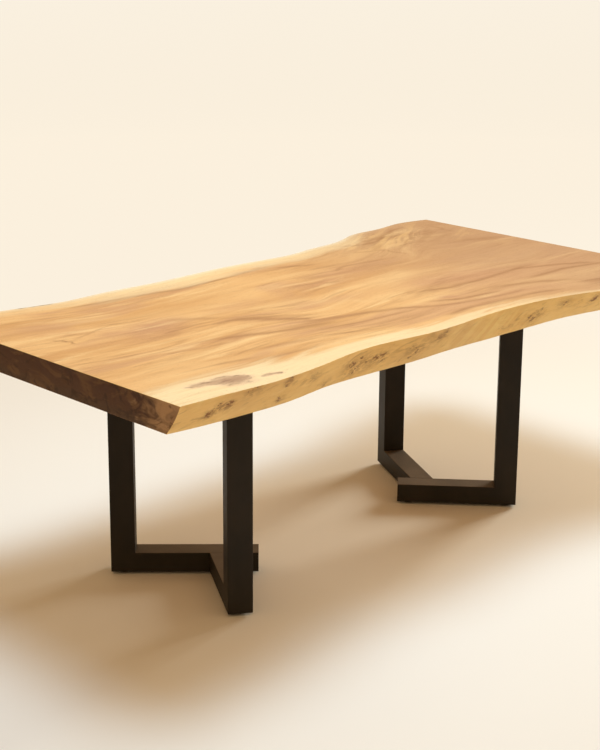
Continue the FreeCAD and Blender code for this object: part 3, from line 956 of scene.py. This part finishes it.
def finish_slab_faces(piece, s):
    """Gives top, live edges, ends and underside their own finishes."""
    for material in (top_material(s), live_edge_material(s), end_material(s), underside_material()):
        piece.data.materials.append(material)
    top, live_edge, end, underside = range(4)
    for face in piece.data.polygons:
        facing = face.normal
        in_pocket = face.center.z < SLAB_LOW.z + POCKET_DEPTH and abs(face.center.y) < POCKET_REACH
        if abs(facing.x) > END_FACING:
            face.material_index = end
        elif facing.z > TOP_FACING:
            face.material_index = top
        elif facing.z < UNDERSIDE_FACING or in_pocket:
            face.material_index = underside
        else:
            face.material_index = live_edge


# --- Operators ---
class TABLE_OT_slab(bpy.types.Operator):
    """Models the live edge slab over the sawn blank and finishes its four kinds of surface"""
    bl_idname = "table.slab"
    bl_label = "Live edge slab"

    def execute(self, context):
        settings = context.scene.table_slab
        piece = live_edge_slab(settings)
        finish_slab_faces(piece, settings)
        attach(piece, "table")
        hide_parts("tabletop_slab")
        return {"FINISHED"}


class TABLE_OT_bases(bpy.types.Operator):
    """Powder coats the arms, posts, end plates and mounting bars of both bases"""
    bl_idname = "table.bases"
    bl_label = "Steel bases"

    def execute(self, context):
        finish_nodes(steel_material(context.scene.table_steel), on_both_sides(
            "long_arm", "branch_arm", "long_arm_post", "branch_post", "end_plate", "long_mounting_bar",
            "branch_mounting_bar",
        ))
        return {"FINISHED"}


class TABLE_OT_fixings(bpy.types.Operator):
    """Finishes the bolts, washers, bushings, studs and threaded inserts"""
    bl_idname = "table.fixings"
    bl_label = "Fixings"

    def execute(self, context):
        settings = context.scene.table_fixings
        finish_nodes(zinc_material(settings), on_both_sides(
            "bolts", "washers", "bushings", "foot_stud_1", "foot_stud_2", "foot_stud_3",
        ))
        finish_nodes(brass_material(settings), on_both_sides("wood_inserts"))
        return {"FINISHED"}


class TABLE_OT_feet(bpy.types.Operator):
    """Finishes the moulded pads of the six levelling feet"""
    bl_idname = "table.feet"
    bl_label = "Foot pads"

    def execute(self, context):
        names = on_both_sides("foot_pad_1", "foot_pad_2", "foot_pad_3")
        finish_nodes(plastic_material(context.scene.table_fixings), names)
        return {"FINISHED"}


def studio_floor(s):
    """Round floor that curves up into a wall: a disc whose rim is drawn up a quarter circle."""
    select()
    bpy.ops.mesh.primitive_circle_add(
        vertices=FLOOR_SIDES, radius=s.floor_radius, fill_type="NGON", location=(0, 0, 0),
    )
    floor = bpy.context.active_object
    floor.name = "studio_floor"
    with edit_mode():
        pick_edges(floor, lambda edge: edge.is_boundary)
        reach, height = s.floor_radius, 0.0
        for step in range(1, COVE_STEPS + 2):
            turn = math.radians(90) * min(step, COVE_STEPS) / COVE_STEPS
            next_reach = s.floor_radius + s.cove_radius * math.sin(turn)
            next_height = s.cove_radius * (1 - math.cos(turn))
            if step > COVE_STEPS:
                next_height += s.wall_height
            bpy.ops.mesh.extrude_edges_move(TRANSFORM_OT_translate={"value": (0, 0, next_height - height)})
            grow = next_reach / reach
            bpy.ops.transform.resize(value=(grow, grow, 1.0), center_override=(0, 0, next_height))
            reach, height = next_reach, next_height
        bpy.ops.mesh.select_all(action="SELECT")
        bpy.ops.mesh.normals_make_consistent(inside=True)
    bpy.ops.object.shade_smooth_by_angle(angle=SMOOTH_ANGLE)
    return floor


def floor_material(s):
    w = Finish("studio_paper")
    cloud = w.noise(w.position, (0.35, 0.35, 0.35))
    fine = w.noise(w.position, (220.0, 220.0, 220.0))
    paler = tuple(min(1.0, 1.03 * channel) for channel in s.floor)
    flat = w.stretch(w.position, (1.0, 1.0, 0.0))
    reach = w.add("ShaderNodeVectorMath", flat, operation="LENGTH")["Value"]
    far = w.range(reach, s.glow_start, s.glow_full)
    w.base = w.mix(far, w.mix(cloud, s.floor, paler), BLACK)
    glow = w.mix(w.range(w.z, 0.0, s.cove_radius), s.floor_glow, s.wall_glow)
    glow = w.mix(w.node("ShaderNodeLightPath").outputs["Is Camera Ray"], s.ambient, glow)
    return w.finish(
        w.ramp(fine, 0.2, 0.8, 0.62, 0.75), w.bump(fine, 0.05, 0.0002), Specular_IOR_Level=0.12,
        Emission_Color=w.mix(far, BLACK, glow), Emission_Strength=1.0,
    )


def add_lamp(name, place, size, energy, tint, spread):
    """A rectangular soft light that aims at the middle of the floor."""
    lamp = bpy.data.lights.new(name, "AREA")
    lamp.spread = math.radians(spread)
    lamp.shape = "RECTANGLE"
    lamp.size, lamp.size_y = size
    lamp.energy = energy
    lamp.color = tint
    holder = add_object(name, lamp)
    holder.location = place
    holder.rotation_euler = (-Vector(place)).to_track_quat("-Z", "Y").to_euler()
    holder.visible_camera = False


def add_camera():
    data = bpy.data.cameras.new("camera")
    data.sensor_width = 36.0
    data.lens = CAMERA_LENS
    data.clip_end = 200.0
    camera = add_object("camera", data)
    heading, pitch, roll = (math.radians(angle) for angle in CAMERA_TURN)
    aim = (
        Matrix.Rotation(heading - math.pi / 2, 4, "Z")
        @ Matrix.Rotation(math.pi / 2 - pitch, 4, "X")
        @ Matrix.Rotation(roll, 4, "Z")
    )
    camera.matrix_world = Matrix.Translation(CAMERA_PLACE) @ aim
    bpy.context.scene.camera = camera


class TABLE_OT_stage(bpy.types.Operator):
    """Builds the studio: round floor and wall, soft lights, ambient light and camera"""
    bl_idname = "table.stage"
    bl_label = "Studio stage"

    def execute(self, context):
        settings = context.scene.table_stage
        floor = studio_floor(settings)
        floor.data.materials.append(floor_material(settings))
        world = bpy.data.worlds.new("studio_world")
        context.scene.world = world
        world.use_nodes = True
        w = Wiring(world.node_tree)
        seen = w.node("ShaderNodeLightPath").outputs["Is Camera Ray"]
        light = w.mix(seen, settings.ambient, settings.backdrop)
        w.wire(world.node_tree.nodes["Background"], Color=light)
        key, side = (settings.key_power, settings.key), (settings.side_power, settings.side)
        add_lamp("overhead_softbox", SOFTBOX_PLACE, SOFTBOX_SIZE, *key, OPEN_SPREAD)
        add_lamp("side_panel", PANEL_PLACE, PANEL_SIZE, *side, PANEL_SPREAD)
        add_camera()
        context.scene.view_settings.view_transform = "Standard"
        return {"FINISHED"}


class TABLE_PT_panel(bpy.types.Panel):
    """Sidebar panel with the table's settings and steps"""
    bl_idname = "TABLE_PT_panel"
    bl_label = "Live edge table"
    bl_space_type = "VIEW_3D"
    bl_region_type = "UI"
    bl_category = "Table"

    def draw(self, context):
        scene = context.scene
        for group, steps in (
            (scene.table_slab, ("table.slab",)),
            (scene.table_steel, ("table.bases",)),
            (scene.table_fixings, ("table.fixings", "table.feet")),
            (scene.table_stage, ("table.stage",)),
        ):
            box = self.layout.box()
            for name in type(group).__annotations__:
                box.prop(group, name)
            for step in steps:
                box.operator(step)


SETTINGS = {
    "table_slab": TableSlabSettings,
    "table_steel": TableSteelSettings,
    "table_fixings": TableFixingSettings,
    "table_stage": TableStageSettings,
}
CLASSES = (
    *SETTINGS.values(), TABLE_OT_slab, TABLE_OT_bases, TABLE_OT_fixings, TABLE_OT_feet, TABLE_OT_stage,
    TABLE_PT_panel,
)


def register():
    for kind in CLASSES:
        bpy.utils.register_class(kind)
    for name, kind in SETTINGS.items():
        setattr(bpy.types.Scene, name, bpy.props.PointerProperty(type=kind))


def unregister():
    for name in SETTINGS:
        delattr(bpy.types.Scene, name)
    for kind in reversed(CLASSES):
        bpy.utils.unregister_class(kind)


def main():
    register()
    bpy.ops.table.slab()
    bpy.ops.table.bases()
    bpy.ops.table.fixings()
    bpy.ops.table.feet()
    bpy.ops.table.stage()


if __name__ == "__main__":
    main()
